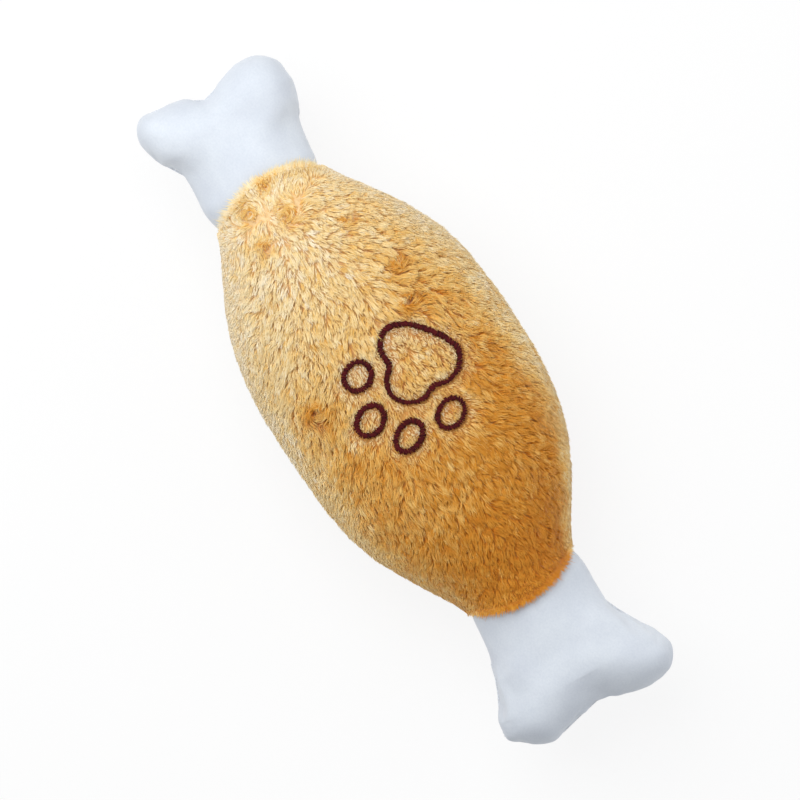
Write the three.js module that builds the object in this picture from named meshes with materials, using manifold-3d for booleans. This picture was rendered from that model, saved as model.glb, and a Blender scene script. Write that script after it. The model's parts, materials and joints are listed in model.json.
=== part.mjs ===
// A squeaky plush bone: a caramel barrel with an embroidered paw, and a white bone end sewn into each neck.
// Inside are the fibre fill and a squeaker with a reed insert. Millimetres, +Z up, +X along the bone.
// The toy lies on its back panel, and the origin is at the middle of its box, on the surface it lies on.
// Solids are first drawn with the seam plane at height zero, and the toy group lifts them to the surface.

import * as THREE from 'three';
import { mergeVertices } from 'three/addons/utils/BufferGeometryUtils.js';
import Module from 'manifold-3d';

const wasm = await Module();
wasm.setup();

// Barrel of the body
const bodyHalfLength = 70;
const bodyHalfWidth = 40.7;
const bodyHalfThickness = 32;
const bodyBow = 2.2;
const barrelFullness = 3;
const barrelDraw = 1.5;
const neckRadius = 19;
const rimPastNeckAtCrown = 4;
const rimShortOfNeckAtSides = 2;
const plushThickness = 3;
const rimThickness = 1.1;
const restFlatDepth = 0.5;

// White bone ends
const endFabric = 1.2;
const endHalfThickness = 15;
const endCrestSetback = 14;
const endCornerSetback = 10;
const waistPastPivot = 5;
const notchHalfWidth = 8;
const notchDent = 0.35;

// Each outline runs from one side of the waist round both knobs to the other, in shares of reach and half span
const leftEnd = {
  name: 'left',
  halfSpan: 25.2,
  reach: 34.8,
  facing: 180,
  turn: -2.5,
  outline: [
    [0.26, -0.83], [0.43, -0.94], [0.64, -1], [0.82, -0.94], [0.94, -0.77], [0.97, -0.52], [0.92, -0.24],
    [0.84, 0.04], [0.94, 0.26], [0.98, 0.58], [0.99, 0.82], [0.91, 0.95], [0.75, 0.99], [0.55, 0.91],
    [0.36, 0.75],
  ],
};
const rightEnd = {
  name: 'right',
  halfSpan: 29.3,
  reach: 41.3,
  facing: 0,
  turn: -2.5,
  outline: [
    [0.2, -0.7], [0.36, -0.77], [0.5, -0.85], [0.65, -0.96], [0.79, -0.99], [0.89, -0.85], [0.99, -0.59],
    [0.96, -0.36], [0.93, -0.14], [0.9, 0.09], [0.95, 0.29], [0.99, 0.55], [0.98, 0.8], [0.9, 0.95],
    [0.78, 1], [0.63, 0.91], [0.47, 0.78], [0.31, 0.67],
  ],
};

// Necks, where the ends bend
const pivotPastRim = 2;
const neckClearance = 0.4;
const sleevePolarAngle = 135;
const endFillStart = 9;
const wadClearance = 0.6;

// Fibre fill
const fillClearance = 0.3;
const squeezeHalfLength = 50;
const squeezeTravel = 12;
const shoulderSetback = 2;

// Squeaker
const bulbRadius = 23;
const bulbHalfHeight = 13;
const bulbWall = 0.8;
const bulbFullness = 0.8;
const insertRadius = 4.4;
const insertWall = 1;
const insertDepth = 9;
const insertClearance = 0.2;
const flangeRadius = 7;
const flangeThickness = 1.2;
const flangeSeat = 0.15;
const reedWidth = 4.6;
const reedThickness = 0.25;
const reedLength = 7.6;
const reedGap = 0.3;
const reedBedLength = 8.5;
const wedgeLength = 3;
const airSlotWidth = 1.4;
const airSlotDepth = 1.2;

// Thread and embroidery
const seamGap = 1;
const threadRadius = 0.3;
const threadSeat = 0.15;
const stitchHalfWidth = 1.1;
const stitchHalfHeight = 0.5;
const stitchSeat = 0.1;
const backingRadius = 21;
const backingThickness = 0.4;
const closingHalfLength = 22;
const closingZigzag = 0.7;
const closingPitch = 4;
const seamBreak = 1;
const toeLean = 115;
const toes = [
  { centre: [-9.1, -9.4], long: 4.5, short: 3.9 },
  { centre: [4, -13.5], long: 4.9, short: 3.8 },
  { centre: [14.2, -6.3], long: 5, short: 3.6 },
  { centre: [15.3, 7.9], long: 4.8, short: 3.7 },
];
const padOutline = [
  [-16.2, 7], [-14, 11.6], [-9.4, 15.6], [-5, 18.6], [0.6, 20.2], [5.2, 17.2], [6.8, 12.2], [5.7, 8.2],
  [7.2, 3], [4.9, -2], [0.6, -4], [-3.6, -2.6], [-6.6, 0.2], [-11.6, 0.5], [-15.2, 3.2],
];

// Facets
const stationsAlong = 20;
const stepsOverCrown = 14;
const roundSteps = 20;
const bulbSteps = 10;
const endNeckRows = 9;
const endFarRows = 5;
const endStepsAcross = 14;
const endOutlineSteps = 120;
const seamSpans = 10;
const endSeamSteps = 36;
const neckSeamSteps = 36;
const padSteps = 44;
const toeSteps = 20;
const threadSides = 6;
const backingRings = 3;
const weldDistance = 1e-4;
const slopeStep = 0.5;

// Sizes that follow
const rimAtCrown = bodyHalfLength + rimPastNeckAtCrown;
const rimAtSides = bodyHalfLength - rimShortOfNeckAtSides;
const rimBore = neckRadius - rimThickness;
const socketRadius = Math.hypot(rimBore, pivotPastRim);
const ballRadius = socketRadius - neckClearance;
const wadRadius = ballRadius - endFabric - wadClearance;
const pivotX = rimAtCrown + pivotPastRim;
const seamHeight = bodyHalfThickness - restFlatDepth;
const halfSeamGap = seamGap / 2;
const halfCoreGap = (squeezeTravel + fillClearance) / 2;
const toyShift = (leftEnd.reach - rightEnd.reach) / 2;
const boundX = pivotX + rightEnd.reach + leftEnd.reach;
const boundZ = bodyHalfThickness + plushThickness;

const colours = {
  plush: new THREE.MeshStandardMaterial({ color: 0xcf9a52, roughness: 0.95, metalness: 0 }),
  white: new THREE.MeshStandardMaterial({ color: 0xeef1f5, roughness: 0.9, metalness: 0 }),
  stitch: new THREE.MeshStandardMaterial({ color: 0x451014, roughness: 0.55, metalness: 0 }),
  caramelThread: new THREE.MeshStandardMaterial({ color: 0xb47f3c, roughness: 0.7, metalness: 0 }),
  whiteThread: new THREE.MeshStandardMaterial({ color: 0xe4e6e8, roughness: 0.7, metalness: 0 }),
  fibre: new THREE.MeshStandardMaterial({ color: 0xf4f4f0, roughness: 1, metalness: 0 }),
  backing: new THREE.MeshStandardMaterial({ color: 0xe9e6dc, roughness: 0.95, metalness: 0 }),
  bulb: new THREE.MeshStandardMaterial({ color: 0xf0f0ea, roughness: 0.4, metalness: 0 }),
  insert: new THREE.MeshStandardMaterial({ color: 0xdfe3e6, roughness: 0.35, metalness: 0 }),
};

const toy = new THREE.Group();
toy.position.set(toyShift, 0, seamHeight);

function add(parent, name, geometry, material) {
  const mesh = new THREE.Mesh(geometry, material);
  mesh.name = name;
  parent.add(mesh);
}

// Mesh and solid helpers

function bodyFromTriangles(triangles) {
  const geometry = new THREE.BufferGeometry().setFromPoints(triangles.flat());
  const merged = mergeVertices(geometry, weldDistance);
  const keep = [];
  let volume = 0;
  const at = [0, 1, 2].map(() => new THREE.Vector3());
  for (let i = 0; i < merged.index.count; i += 3) {
    const corner = [0, 1, 2].map((k) => merged.index.getX(i + k));
    if (new Set(corner).size === 3) {
      corner.forEach((vertex, k) => at[k].fromBufferAttribute(merged.attributes.position, vertex));
      volume += at[0].dot(at[1].clone().cross(at[2]));
      keep.push(corner);
    }
  }
  merged.setIndex(keep.flatMap((corner) => (volume < 0 ? corner.reverse() : corner)));
  return merged;
}

function gridTriangles(rows, reversed = false) {
  const triangles = [];
  for (let i = 0; i + 1 < rows.length; i += 1) {
    for (let j = 0; j + 1 < rows[i].length; j += 1) {
      const near = [rows[i][j], rows[i + 1][j], rows[i + 1][j + 1]];
      const far = [rows[i][j], rows[i + 1][j + 1], rows[i][j + 1]];
      triangles.push(reversed ? near.reverse() : near, reversed ? far.reverse() : far);
    }
  }
  return triangles;
}

function gridBorder(rows) {
  const last = rows.length - 1;
  const side = rows[0].length - 1;
  return [
    ...rows.map((row) => row[0]),
    ...rows[last].slice(1),
    ...rows.map((row) => row[side]).reverse().slice(1),
    ...rows[0].slice(0, side).reverse(),
  ];
}

// A sheet with two faces and a closed edge, from matching grids of points
function sheet(outer, inner) {
  const edge = gridTriangles([gridBorder(outer), gridBorder(inner)]);
  return bodyFromTriangles([...gridTriangles(outer), ...gridTriangles(inner, true), ...edge]);
}

// A closed body from rings of points, with a fan over each end
function loft(rings) {
  const closed = rings.map((ring) => [...ring, ring[0]]);
  const fan = (ring) => ring.map(() => middle(ring.slice(1)));
  return bodyFromTriangles(gridTriangles([fan(closed[0]), ...closed, fan(closed.at(-1))]));
}

function middle(points) {
  const sum = points.reduce((total, point) => total.add(point), new THREE.Vector3());
  return sum.divideScalar(points.length);
}

// A closed loop of thread with an oval section, lying against the given upward directions
function threadLoop(points, ups, halfWidth, halfHeight) {
  const count = points.length;
  const rows = points.map((point, i) => {
    const ahead = points[(i + 1) % count].clone().sub(points[(i + count - 1) % count]).normalize();
    const across = ahead.clone().cross(ups[i]).normalize();
    const up = across.clone().cross(ahead);
    return Array.from({ length: threadSides + 1 }, (_, k) => {
      const angle = (2 * Math.PI * (k % threadSides)) / threadSides;
      return point.clone()
        .addScaledVector(across, halfWidth * Math.cos(angle))
        .addScaledVector(up, halfHeight * Math.sin(angle));
    });
  });
  return bodyFromTriangles(gridTriangles([...rows, rows[0]]));
}

function thread(points, steps) {
  const section = new THREE.Shape().absarc(0, 0, threadRadius, 0, 2 * Math.PI);
  const path = new THREE.CatmullRomCurve3(points);
  const options = { steps, bevelEnabled: false, extrudePath: path, curveSegments: threadSides / 2 };
  return new THREE.ExtrudeGeometry(section, options);
}

function solid(geometry) {
  const bare = geometry.clone();
  bare.deleteAttribute('normal');
  bare.deleteAttribute('uv');
  const merged = mergeVertices(bare, weldDistance);
  const vertProperties = Float32Array.from(merged.attributes.position.array);
  const triVerts = Uint32Array.from(merged.index.array);
  return new wasm.Manifold(new wasm.Mesh({ numProp: 3, vertProperties, triVerts }));
}

function geometryOf(manifold) {
  const mesh = manifold.getMesh();
  const geometry = new THREE.BufferGeometry();
  geometry.setAttribute('position', new THREE.BufferAttribute(mesh.vertProperties, 3));
  geometry.setIndex(new THREE.BufferAttribute(mesh.triVerts, 1));
  return geometry;
}

function block(low, high) {
  const size = high.map((value, i) => value - low[i]);
  const geometry = new THREE.BoxGeometry(...size);
  geometry.translate(...high.map((value, i) => (value + low[i]) / 2));
  return solid(geometry);
}

function ball(radius, x, y) {
  const geometry = new THREE.SphereGeometry(radius, roundSteps, roundSteps / 2);
  geometry.rotateZ(Math.PI / 2);
  geometry.translate(x, y, 0);
  return solid(geometry);
}

// A body turned about the upright axis, from a profile of [radius, height] that starts and ends on the axis
function turned(profile) {
  return solid(new THREE.LatheGeometry(profile.map(([r, z]) => new THREE.Vector2(r, z)), roundSteps)
    .rotateX(Math.PI / 2));
}

function post(radius, low, high) {
  return turned([[0, low], [radius, low], [radius, high], [0, high]]);
}

const smooth = (low, high, value) => THREE.MathUtils.smoothstep(value, low, high);

// Barrel: full for most of its length, then drawn in to a round neck at each end

const along = (x) => Math.min(Math.abs(x) / bodyHalfLength, 1);
const barrel = (x) => (1 - along(x) ** barrelFullness) ** barrelDraw;
const bow = (x) => -bodyBow * along(x) ** 2;
const plush = (x) => rimThickness + (plushThickness - rimThickness) * barrel(x);
const barrelWidth = (x) => neckRadius + (bodyHalfWidth - neckRadius) * barrel(x);
const barrelHeight = (x) => neckRadius + (bodyHalfThickness - neckRadius) * barrel(x);

// The rim where plush meets white reaches further over the neck at the crown than at the side seams
const rimX = (angle) => rimAtSides + (rimAtCrown - rimAtSides) * Math.sin(angle) ** 2;

// A point of the barrel's skin, at a share of the way along and an angle from the far side seam
function barrelPoint(share, angle, inset, lift) {
  const x = share * rimX(angle);
  const depth = inset(x);
  const y = bow(x) + (barrelWidth(x) - depth) * Math.cos(angle);
  const z = lift + (barrelHeight(x) - depth - Math.abs(lift)) * Math.sin(angle);
  return new THREE.Vector3(x, y, z);
}

const shares = Array.from({ length: stationsAlong + 1 }, (_, i) => (2 * i) / stationsAlong - 1);
const crownAngles = Array.from({ length: stepsOverCrown + 1 }, (_, j) => (Math.PI * j) / stepsOverCrown);

function panelGrid(inset, side) {
  const turnOver = { x: 1, y: 1, z: side };
  const point = (share, angle) => barrelPoint(share, angle, inset, halfSeamGap).multiply(turnOver);
  return shares.map((share) => crownAngles.map((angle) => point(share, angle)));
}

const bodyPanel = (side) => sheet(panelGrid(() => 0, side), panelGrid(plush, side));

function barrelFill() {
  const around = [...crownAngles.slice(0, -1), ...crownAngles.slice(0, -1).map((angle) => angle + Math.PI)];
  const inset = (x) => plush(x) + fillClearance;
  return solid(loft(shares.map((share) => around.map((angle) => barrelPoint(share, angle, inset, 0)))));
}

// Height of the front skin over a point of the plan, at a depth below the plush surface
function crownHeight(x, y, depth) {
  const across = (y - bow(x)) / (barrelWidth(x) - depth);
  return halfSeamGap + (barrelHeight(x) - depth - halfSeamGap) * Math.sqrt(1 - across ** 2);
}

const restCut = block([-boundX, -bodyHalfWidth, -boundZ], [boundX, bodyHalfWidth, -seamHeight]);
add(toy, 'body_front_panel', bodyPanel(1), colours.plush);
add(toy, 'body_back_panel', geometryOf(solid(bodyPanel(-1)).subtract(restCut)), colours.plush);

// Side seams, with a hand-sewn stretch where the toy was turned and stuffed

function seamPoint(x, side, sway = 0) {
  const y = bow(x) + side * (barrelWidth(x) - plush(x) / 2 + sway);
  return new THREE.Vector3(x, y, 0);
}

function sideSeam(from, to, side) {
  const at = (i) => from + ((to - from) * i) / seamSpans;
  const points = Array.from({ length: seamSpans + 1 }, (_, i) => seamPoint(at(i), side));
  return thread(points, 2 * seamSpans);
}

function closingSeam() {
  const count = Math.round((4 * closingHalfLength) / closingPitch);
  const at = (i) => -closingHalfLength + (2 * closingHalfLength * i) / count;
  const sway = (i) => closingZigzag * (i % 2 ? 1 : -1);
  return thread(Array.from({ length: count + 1 }, (_, i) => seamPoint(at(i), -1, sway(i))), 2 * count);
}

const seamEnd = rimAtSides - shoulderSetback;
const seamStart = closingHalfLength + seamBreak;
add(toy, 'body_seam_far', sideSeam(-seamEnd, seamEnd, 1), colours.caramelThread);
add(toy, 'body_seam_near_left', sideSeam(-seamEnd, -seamStart, -1), colours.caramelThread);
add(toy, 'body_seam_near_right', sideSeam(seamStart, seamEnd, -1), colours.caramelThread);
add(toy, 'closing_stitch', closingSeam(), colours.caramelThread);

// Neck seams: a loop of thread on the end of each plush rim

function neckSeam(direction) {
  const radius = (rimBore + neckRadius) / 2;
  const angles = Array.from({ length: neckSeamSteps }, (_, i) => (2 * Math.PI * i) / neckSeamSteps);
  const points = angles.map((angle) => new THREE.Vector3(
    direction * (rimX(angle) + threadSeat + threadRadius),
    bow(rimX(angle)) + radius * Math.cos(angle),
    radius * Math.sin(angle),
  ));
  const ups = angles.map(() => new THREE.Vector3(1, 0, 0));
  return threadLoop(points, ups, threadRadius, threadRadius);
}

add(toy, 'left_neck_seam', neckSeam(-1), colours.caramelThread);
add(toy, 'right_neck_seam', neckSeam(1), colours.caramelThread);

// Embroidery: satin-stitch outlines on the crown, and the patch that stiffens the plush behind them

function embroidery(outline, steps) {
  const points = outline.getSpacedPoints(steps).slice(0, -1).map(({ x, y }) => new THREE.Vector3(
    x,
    y,
    crownHeight(x, y, 0) + stitchHalfHeight + stitchSeat,
  ));
  const ups = points.map(({ x, y }) => new THREE.Vector3(
    crownHeight(x - slopeStep, y, 0) - crownHeight(x + slopeStep, y, 0),
    crownHeight(x, y - slopeStep, 0) - crownHeight(x, y + slopeStep, 0),
    2 * slopeStep,
  ).normalize());
  points.forEach((point, i) => point.addScaledVector(ups[i], stitchSeat));
  return threadLoop(points, ups, stitchHalfWidth, stitchHalfHeight);
}

const padCurve = new THREE.CatmullRomCurve3(padOutline.map(([x, y]) => new THREE.Vector3(x, y, 0)), true);
add(toy, 'paw_pad_outline', embroidery(padCurve, padSteps), colours.stitch);
toes.forEach(({ centre, long, short }, i) => {
  const lean = THREE.MathUtils.degToRad(toeLean);
  const oval = new THREE.EllipseCurve(...centre, long, short, 0, 2 * Math.PI, false, lean);
  add(toy, `paw_toe_outline_${i + 1}`, embroidery(oval, toeSteps), colours.stitch);
});

function backingLayer(radius, depth) {
  const radii = Array.from({ length: backingRings + 1 }, (_, i) => (radius * i) / backingRings);
  const step = (2 * Math.PI) / roundSteps;
  const angles = Array.from({ length: roundSteps + 1 }, (_, i) => step * (i % roundSteps));
  return radii.map((r) => angles.map((angle) => {
    const x = r * Math.cos(angle);
    const y = r * Math.sin(angle);
    return new THREE.Vector3(x, y, crownHeight(x, y, plush(x) + depth));
  }));
}

function backing(spread, topDepth, bottomDepth) {
  const top = backingLayer(backingRadius + spread, topDepth);
  const bottom = backingLayer(backingRadius + spread, bottomDepth);
  const edge = gridTriangles([top.at(-1), bottom.at(-1)]);
  return bodyFromTriangles([...gridTriangles(top), ...gridTriangles(bottom, true), ...edge]);
}

const backingBottom = fillClearance + backingThickness;
const backingRecess = solid(backing(fillClearance, -fillClearance, backingBottom + fillClearance));
add(toy, 'embroidery_backing', backing(0, fillClearance, backingBottom), colours.backing);

// Squeaker: a flattened bulb with a reed insert pressed into its underside

function bulb(inset) {
  const angles = Array.from({ length: bulbSteps + 1 }, (_, i) => (Math.PI * i) / bulbSteps - Math.PI / 2);
  const swell = (value) => Math.sign(value) * Math.abs(value) ** bulbFullness;
  return turned(angles.map((angle, i) => [
    i % bulbSteps ? (bulbRadius - inset) * swell(Math.cos(angle)) : 0,
    (bulbHalfHeight - inset) * swell(Math.sin(angle)),
  ]));
}

const bulbBottom = -bulbHalfHeight;
const insertTop = bulbBottom + insertDepth;
const flangeTop = bulbBottom - flangeSeat;
const flangeBottom = flangeTop - flangeThickness;
const bore = insertRadius - insertWall;
const bulbHole = post(insertRadius + insertClearance, -boundZ, bulbBottom + bulbHalfHeight / 2);
const flange = post(flangeRadius, flangeBottom, flangeTop);
const sleeve = post(insertRadius, flangeBottom, insertTop);
add(toy, 'squeaker_bladder', geometryOf(bulb(0).subtract(bulb(bulbWall)).subtract(bulbHole)), colours.bulb);
const housing = flange.add(sleeve).subtract(post(bore, -boundZ, boundZ));
add(toy, 'squeaker_housing', geometryOf(housing), colours.insert);

const bedRadius = bore - insertClearance;
const bedBottom = flangeTop;
const slot = block(
  [-airSlotDepth, -airSlotWidth / 2, bedBottom + wedgeLength],
  [bore, airSlotWidth / 2, boundZ],
);
const bedSide = block([-bore, -bore, -boundZ], [0, bore, boundZ]);
const reedBed = post(bedRadius, bedBottom, bedBottom + reedBedLength).intersect(bedSide).subtract(slot);
add(toy, 'squeaker_reed_bed', geometryOf(reedBed), colours.insert);

const reed = new THREE.BoxGeometry(reedThickness, reedWidth, reedLength);
reed.translate(reedGap + reedThickness / 2, 0, bedBottom + reedLength / 2);
add(toy, 'squeaker_reed', reed, colours.bulb);

const wedgeSide = block([2 * reedGap + reedThickness, -bore, -boundZ], [bore, bore, boundZ]);
const wedge = post(bedRadius, bedBottom, bedBottom + wedgeLength).intersect(wedgeSide);
add(toy, 'squeaker_reed_wedge', geometryOf(wedge), colours.insert);

// Fibre fill of the barrel: a pressed half and a fixed half with a springy core between them,
// and a dished wad against each neck

const fill = barrelFill();
const bulbPocket = bulb(-fillClearance);
const flangePocket = post(flangeRadius + fillClearance, flangeBottom - fillClearance, 0);
const slab = (low, high) => block(
  [-squeezeHalfLength, -bodyHalfWidth, low],
  [squeezeHalfLength, bodyHalfWidth, high],
);
const upperFill = fill.intersect(slab(halfCoreGap, boundZ)).subtract(bulbPocket).subtract(backingRecess);
const coreEdge = halfCoreGap - fillClearance;
const coreFill = fill.intersect(slab(-coreEdge, coreEdge)).subtract(bulbPocket);
const lowerFill = fill.intersect(slab(-boundZ, -halfCoreGap)).subtract(bulbPocket).subtract(flangePocket);
add(toy, 'stuffing_upper', geometryOf(upperFill), colours.fibre);
add(toy, 'stuffing_core', geometryOf(coreFill), colours.fibre);
add(toy, 'stuffing_lower', geometryOf(lowerFill), colours.fibre);

function shoulderFill(direction) {
  const ends = [squeezeHalfLength + fillClearance, seamEnd].map((x) => x * direction).sort((a, b) => a - b);
  const room = block([ends[0], -bodyHalfWidth, -boundZ], [ends[1], bodyHalfWidth, boundZ]);
  return fill.intersect(room).subtract(ball(socketRadius, direction * pivotX, -bodyBow));
}

add(toy, 'stuffing_left_shoulder', geometryOf(shoulderFill(-1)), colours.fibre);
add(toy, 'stuffing_right_shoulder', geometryOf(shoulderFill(1)), colours.fibre);

// Bone ends: a ball-shaped sleeve in the neck, round about the pivot as far as the waist, that flares
// from there into two knobs with a notch between them.
// Each is drawn about its pivot, pointing along +X.

// Points along an end's outline from waist to waist, drawn in by an inset
function endOutline(end, inset) {
  const waist = Math.sqrt(ballRadius ** 2 - waistPastPivot ** 2);
  const curve = new THREE.SplineCurve([
    new THREE.Vector2(waistPastPivot, -waist),
    ...end.outline.map(([x, y]) => new THREE.Vector2(x * end.reach, y * end.halfSpan)),
    new THREE.Vector2(waistPastPivot, waist),
  ]);
  return Array.from({ length: endOutlineSteps + 1 }, (_, i) => {
    const ahead = curve.getTangentAt(i / endOutlineSteps);
    return curve.getPointAt(i / endOutlineSteps).add({ x: -inset * ahead.y, y: inset * ahead.x });
  });
}

// Where a line that sets out along +X first gets past x
function crossing(line, x) {
  const next = Math.max(1, line.findIndex((point) => point.x >= x));
  const [before, after] = [line[next - 1], line[next]];
  return before.y + ((after.y - before.y) * Math.max(0, x - before.x)) / (after.x - before.x);
}

function endRows(end, inset, lift) {
  const neck = ballRadius - inset;
  const height = endHalfThickness - inset;
  const crest = end.reach - endCrestSetback;
  const corner = end.reach - endCornerSetback;
  const sleeveStart = ballRadius * Math.cos(THREE.MathUtils.degToRad(sleevePolarAngle));
  const throat = (x) => Math.sqrt(neck ** 2 - Math.min(x, waistPastPivot) ** 2);
  const waist = throat(waistPastPivot);
  const crown = (x) => throat(x) + (height - waist) * smooth(waistPastPivot, crest, x);
  const line = endOutline(end, inset);
  const back = [...line].reverse();
  const sides = (x) => (
    x > waistPastPivot ? [crossing(line, x), crossing(back, x)] : [-throat(x), throat(x)]
  );
  const acrossAt = (x, turn) => {
    const [low, high] = sides(x);
    return (low + high) / 2 - ((high - low) / 2) * Math.cos(turn);
  };
  const turns = Array.from({ length: endStepsAcross + 1 }, (_, j) => (Math.PI * j) / endStepsAcross);
  const dip = (y) => Math.exp(-((y / notchHalfWidth) ** 2));
  const neckRows = Array.from({ length: endNeckRows + 1 }, (_, i) => {
    const x = sleeveStart + ((crest - sleeveStart) * i) / endNeckRows;
    return turns.map((turn) => new THREE.Vector3(
      x,
      acrossAt(x, turn),
      lift + (crown(x) - lift) * Math.sin(turn),
    ));
  });
  const beyond = line.filter((point) => point.x >= corner);
  const edge = turns.map((_, j) => beyond[Math.round(((beyond.length - 1) * j) / endStepsAcross)]);
  const farRows = Array.from({ length: endFarRows }, (_, i) => {
    const reached = Math.sin((Math.PI * (i + 1)) / (2 * endFarRows));
    const left = Math.sqrt(1 - reached ** 2);
    return turns.map((turn, j) => {
      const start = acrossAt(crest, turn);
      const sag = 1 - notchDent * reached * dip(edge[j].y);
      return new THREE.Vector3(
        crest + (edge[j].x - crest) * reached,
        start + (edge[j].y - start) * reached,
        lift + (height - lift) * Math.sin(turn) * left * sag,
      );
    });
  });
  return [...neckRows, ...farRows];
}

const mirrored = (rows) => rows.map((row) => row.map(({ x, y, z }) => new THREE.Vector3(x, y, -z)));

function endFill(end) {
  const rows = endRows(end, endFabric + fillClearance, 0);
  const start = middle([rows[0][0], rows[0].at(-1)]);
  const cap = rows[0].map(() => start);
  const halves = [cap, ...rows];
  const sack = bodyFromTriangles([...gridTriangles(halves), ...gridTriangles(mirrored(halves), true)]);
  const room = block([endFillStart, -boundX, -boundZ], [boundX, boundX, boundZ]);
  return solid(sack).intersect(room).subtract(ball(wadRadius + fillClearance, 0, 0));
}

function endSeam(end) {
  const rows = endRows(end, endFabric / 2, 0);
  const side = rows.slice(1, -1).map((row) => row[0]);
  const otherSide = rows.slice(1, -1).map((row) => row.at(-1)).reverse();
  return thread([...side, ...rows.at(-1), ...otherSide], endSeamSteps);
}

function addEnd(end) {
  const direction = Math.cos(THREE.MathUtils.degToRad(end.facing));
  const group = new THREE.Group();
  group.position.set(direction * pivotX, -bodyBow, 0);
  group.rotation.z = THREE.MathUtils.degToRad(end.facing + end.turn);
  toy.add(group);
  const outer = endRows(end, 0, halfSeamGap);
  const inner = endRows(end, endFabric, halfSeamGap);
  add(group, `${end.name}_end_front_panel`, sheet(outer, inner), colours.white);
  add(group, `${end.name}_end_back_panel`, sheet(mirrored(outer), mirrored(inner)), colours.white);
  add(group, `${end.name}_end_seam`, endSeam(end), colours.whiteThread);
  add(group, `${end.name}_end_stuffing`, geometryOf(endFill(end)), colours.fibre);
  add(group, `${end.name}_neck_stuffing`, geometryOf(ball(wadRadius, 0, 0)), colours.fibre);
}

addEnd(leftEnd);
addEnd(rightEnd);

export default toy;
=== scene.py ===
"""Looks of a squeaky plush bone: its pile, stuffed white ends, embroidery, seams, filling and light.

Metres, +Z up, +X along the bone. The barrel's shape is worked out about its centre on the seam plane.
"""

import itertools
import json
import math

import bpy
import numpy as np
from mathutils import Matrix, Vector, kdtree


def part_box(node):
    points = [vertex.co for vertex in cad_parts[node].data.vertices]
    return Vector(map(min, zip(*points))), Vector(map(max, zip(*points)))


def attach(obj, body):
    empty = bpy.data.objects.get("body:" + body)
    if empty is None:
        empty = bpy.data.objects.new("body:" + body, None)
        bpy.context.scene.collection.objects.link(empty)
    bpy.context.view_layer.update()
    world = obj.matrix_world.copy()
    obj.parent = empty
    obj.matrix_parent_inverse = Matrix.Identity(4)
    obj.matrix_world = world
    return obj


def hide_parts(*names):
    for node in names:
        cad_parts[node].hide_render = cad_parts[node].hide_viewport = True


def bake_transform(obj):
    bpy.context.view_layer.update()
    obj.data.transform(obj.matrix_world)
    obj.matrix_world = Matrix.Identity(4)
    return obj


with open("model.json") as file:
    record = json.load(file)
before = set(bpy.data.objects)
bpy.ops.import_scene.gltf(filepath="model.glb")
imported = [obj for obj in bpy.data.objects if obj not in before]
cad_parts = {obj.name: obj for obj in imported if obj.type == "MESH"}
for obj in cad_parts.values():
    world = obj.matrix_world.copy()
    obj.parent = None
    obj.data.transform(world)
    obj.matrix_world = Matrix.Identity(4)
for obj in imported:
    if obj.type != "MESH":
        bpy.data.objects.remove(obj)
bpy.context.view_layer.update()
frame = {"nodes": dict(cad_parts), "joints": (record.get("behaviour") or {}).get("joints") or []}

MM = 0.001

# Places and sizes that the frame gives
joints = {joint["name"]: joint for joint in frame["joints"]}
skin_low, skin_high = (np.array(corner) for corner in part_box("body_front_panel"))
neck_low, neck_high = (np.array(corner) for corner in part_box("left_neck_seam"))
PIVOTS = {side: np.array(joints[f"{side}_end_lift"]["pos_m"]) for side in ("left", "right")}
CENTRE = np.array([(skin_low[0] + skin_high[0]) / 2, 0, PIVOTS["left"][2]])
HALF_WIDTH = (skin_high[1] - skin_low[1]) / 2
HALF_HEIGHT = skin_high[2] - CENTRE[2]
BOW = -PIVOTS["left"][1]
RIM_AT_CROWN = (skin_high[0] - skin_low[0]) / 2

# Barrel of the body
SEAM_INSIDE_RIM = 0.25 * MM
NECK_RADIUS = (neck_high[2] - neck_low[2]) / 2 + SEAM_INSIDE_RIM
HALF_LENGTH = RIM_AT_CROWN - 4 * MM
RIM_AT_SIDES = HALF_LENGTH - 2 * MM
FULLNESS = 3
DRAW = 1.5
PLUSH = 3 * MM
RIM_PLUSH = 1.1 * MM
SKIN_GAP = 0.013

# Pile
PILE_LENGTH = 3.5 * MM
PILE_WIDTH = 0.28 * MM
PILE_ROOT = 0.72
FRONT_STRANDS = 80000
BACK_STRANDS = 48000
BACK_BREADTH = 1.25
FRINGE_SHARE = 0.05
FRINGE_DEPTH = 0.015
STRANDS_IN_TUFT = 15
STRANDS_IN_PIECE = 16000
RIM_CLEARANCE = 0.45 * MM
RIM_FLARE = 0.4
RIM_EASE = 6 * MM
RIM_ROLL = 2 * MM
RIM_DROOP = 1.4 * MM
FAN_AT_LEFT = 1.3
FAN_AT_RIGHT = 0.7
FLOOR_CLEARANCE = 0.3 * MM
ROOT_DEPTH = 0.4 * MM
WAVE = 14 * MM
CURL = 4.5 * MM
LUMP = 9 * MM
PARTING = (-68 * MM, -60 * MM)
PARTING_WANDER = 5 * MM
MAT_WANDER = 1.8 * MM

# Tone of the pile along the barrel, partly its own colour and partly painted light, paler towards the left
# end where the lamp is; and the painted sheen that pales its flanks: the near one fades to the right
TONE_PLACES = [-1, -0.7, -0.35, 0.18, 0.5, 1]
PILE_TONES_AND_PAINTED_LIGHT = [0.88, 0.8, 0.67, 0.42, 0.33, 0.16]
FLANK_START = 0.72
FAR_FLANK_PAINTED_SHEEN = 0.7
NEAR_FLANK_PLACES = [-0.6, 0.1, 0.8]
NEAR_FLANK_PAINTED_SHEEN = [0.95, 0.65, 0.35]

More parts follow.
